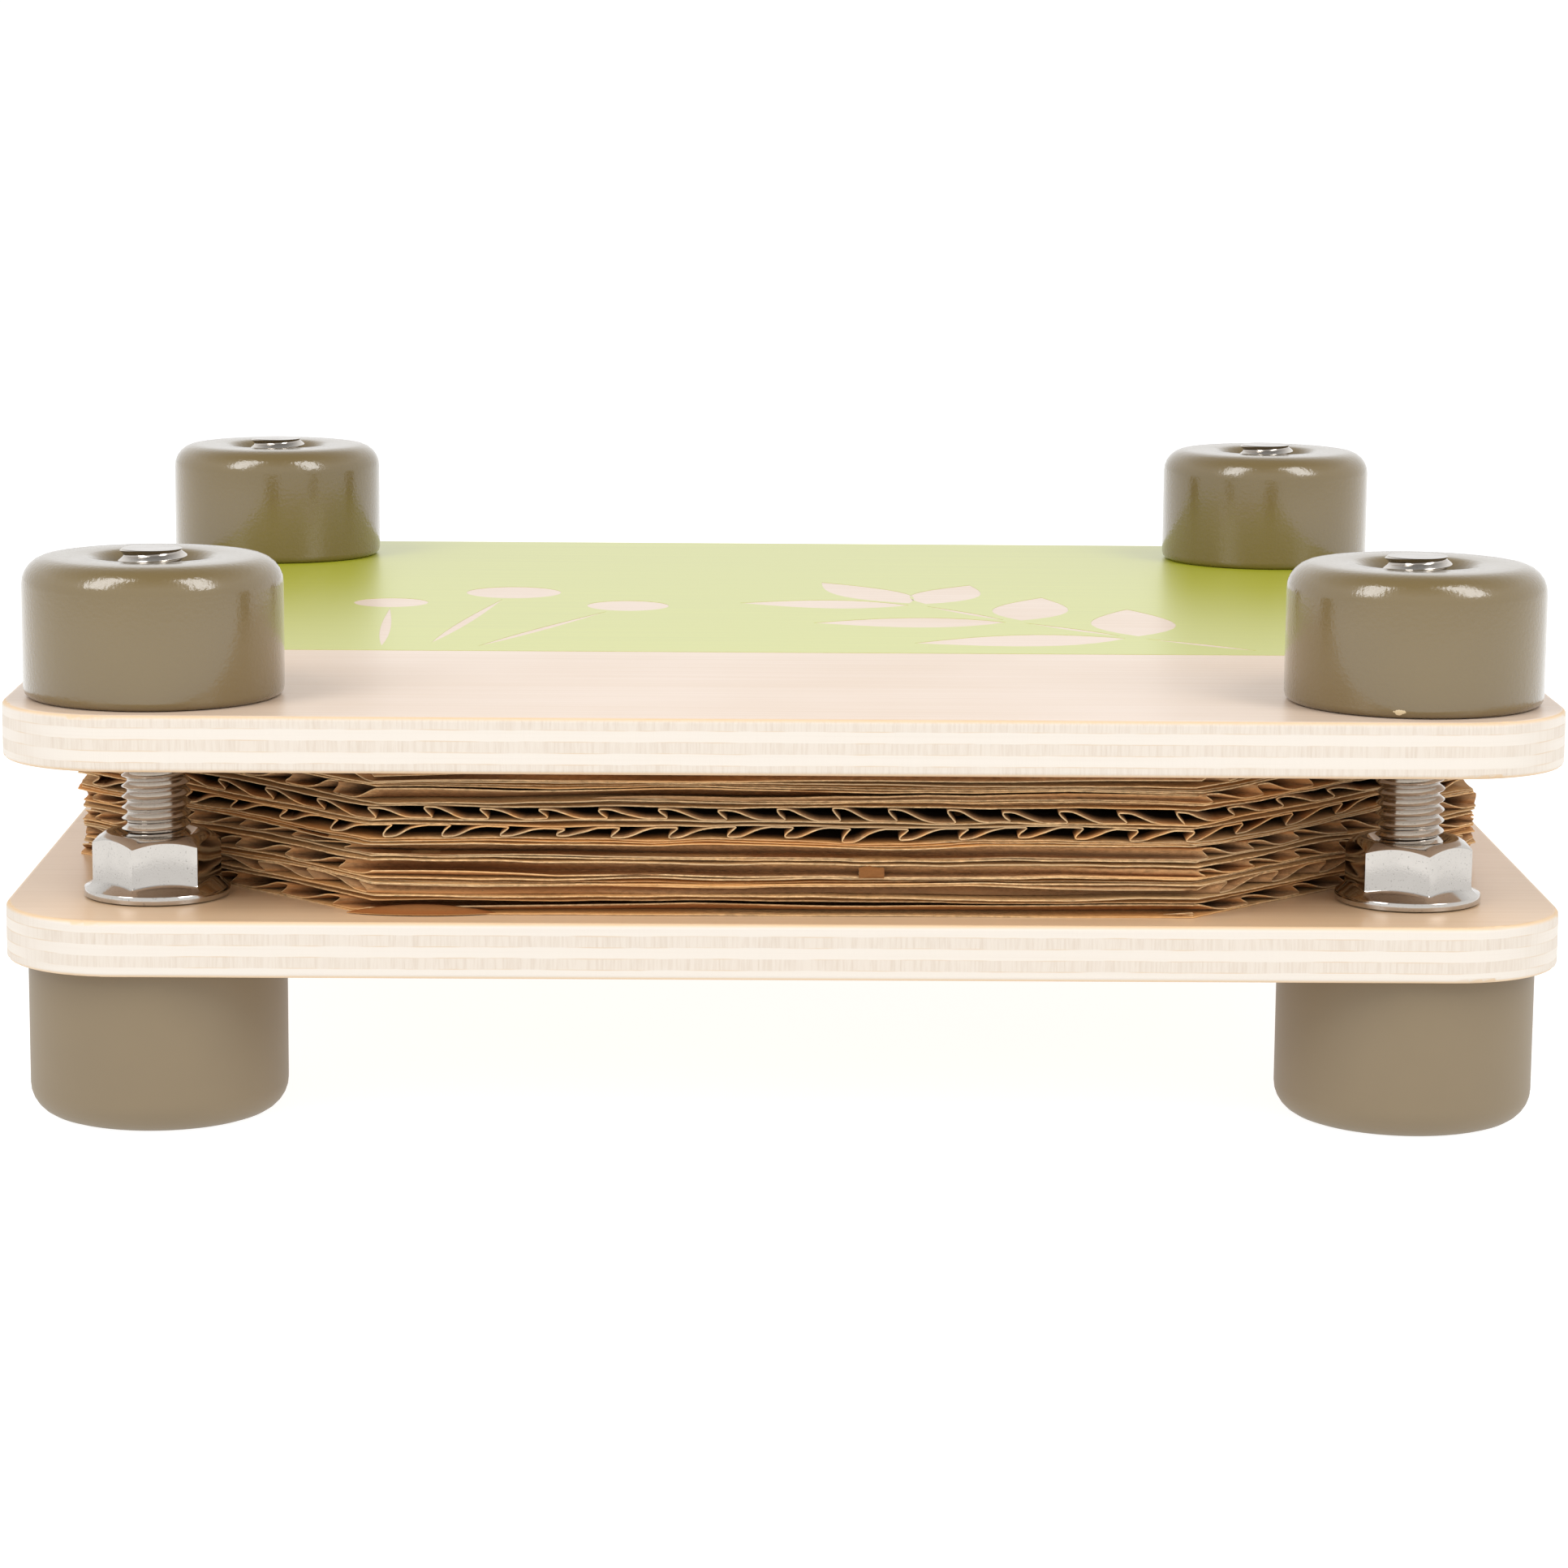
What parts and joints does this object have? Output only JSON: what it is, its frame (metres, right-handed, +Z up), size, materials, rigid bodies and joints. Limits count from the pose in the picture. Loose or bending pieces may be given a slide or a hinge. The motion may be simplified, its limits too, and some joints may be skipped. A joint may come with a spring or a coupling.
{
  "type": "flower press",
  "caption": "Square plywood flower press: a top board guided by upright threaded bolts and drawn down with turned wooden knobs on a pack of corrugated cards and paper sheets.",
  "frame": {"origin": "on the surface that the feet stand on, under the middle of the boards", "axes": "+Z up, +X to the right and -Y to the front as seen in the picture"},
  "size_m": [0.18, 0.18, 0.066],
  "materials": {
    "plywood": "sanded, unvarnished",
    "painted_wood": "gloss paint",
    "bright_steel": "bright plated",
    "kraft_card": "bare kraft board",
    "kraft_paper": "bare kraft paper"
  },
  "bodies": {
    "base": {"base_board": "plywood", "foot_front_left": "painted_wood", "bolt_front_left": "bright_steel", "flange_nut_front_left": "bright_steel", "foot_front_right": "painted_wood", "bolt_front_right": "bright_steel", "flange_nut_front_right": "bright_steel", "foot_back_left": "painted_wood", "bolt_back_left": "bright_steel", "flange_nut_back_left": "bright_steel", "foot_back_right": "painted_wood", "bolt_back_right": "bright_steel", "flange_nut_back_right": "bright_steel", "card_1": "kraft_card", "card_2": "kraft_card", "card_3": "kraft_card", "card_4": "kraft_card", "card_5": "kraft_card", "card_6": "kraft_card", "card_7": "kraft_card", "card_8": "kraft_card", "paper_sheet_01": "kraft_paper", "paper_sheet_02": "kraft_paper", "paper_sheet_03": "kraft_paper", "paper_sheet_04": "kraft_paper", "paper_sheet_05": "kraft_paper", "paper_sheet_06": "kraft_paper", "paper_sheet_07": "kraft_paper", "paper_sheet_08": "kraft_paper", "paper_sheet_09": "kraft_paper", "paper_sheet_10": "kraft_paper", "paper_sheet_11": "kraft_paper", "paper_sheet_12": "kraft_paper", "paper_sheet_13": "kraft_paper", "paper_sheet_14": "kraft_paper"},
    "press_board": {"top_board": "plywood"},
    "front_left_knob": {"knob_front_left": "painted_wood", "knob_insert_front_left": "bright_steel"},
    "front_right_knob": {"knob_front_right": "painted_wood", "knob_insert_front_right": "bright_steel"},
    "back_left_knob": {"knob_back_left": "painted_wood", "knob_insert_back_left": "bright_steel"},
    "back_right_knob": {"knob_back_right": "painted_wood", "knob_insert_back_right": "bright_steel"}
  },
  "joints": [
    {"name": "press_board_lift", "type": "slide", "parent": "base", "child": "press_board", "axis": [0, 0, 1], "range_m": [0, 0.01375]},
    {"name": "front_left_knob_turn", "type": "hinge", "parent": "press_board", "child": "front_left_knob", "pos_m": [-0.073, -0.073, 0.0571], "axis": [0, 0, 1], "range_deg": [0, 3960]},
    {"name": "front_right_knob_turn", "type": "hinge", "parent": "press_board", "child": "front_right_knob", "pos_m": [0.073, -0.073, 0.0571], "axis": [0, 0, 1], "range_deg": [0, 3960]},
    {"name": "back_left_knob_turn", "type": "hinge", "parent": "press_board", "child": "back_left_knob", "pos_m": [-0.073, 0.073, 0.0571], "axis": [0, 0, 1], "range_deg": [0, 3960]},
    {"name": "back_right_knob_turn", "type": "hinge", "parent": "press_board", "child": "back_right_knob", "pos_m": [0.073, 0.073, 0.0571], "axis": [0, 0, 1], "range_deg": [0, 3960]}
  ],
  "couplings": [
    {"joint": "press_board_lift", "follows": "front_left_knob_turn", "m_per_rad": 0.00019894},
    {"joint": "front_right_knob_turn", "follows": "front_left_knob_turn", "ratio": 1},
    {"joint": "back_left_knob_turn", "follows": "front_left_knob_turn", "ratio": 1},
    {"joint": "back_right_knob_turn", "follows": "front_left_knob_turn", "ratio": 1}
  ]
}
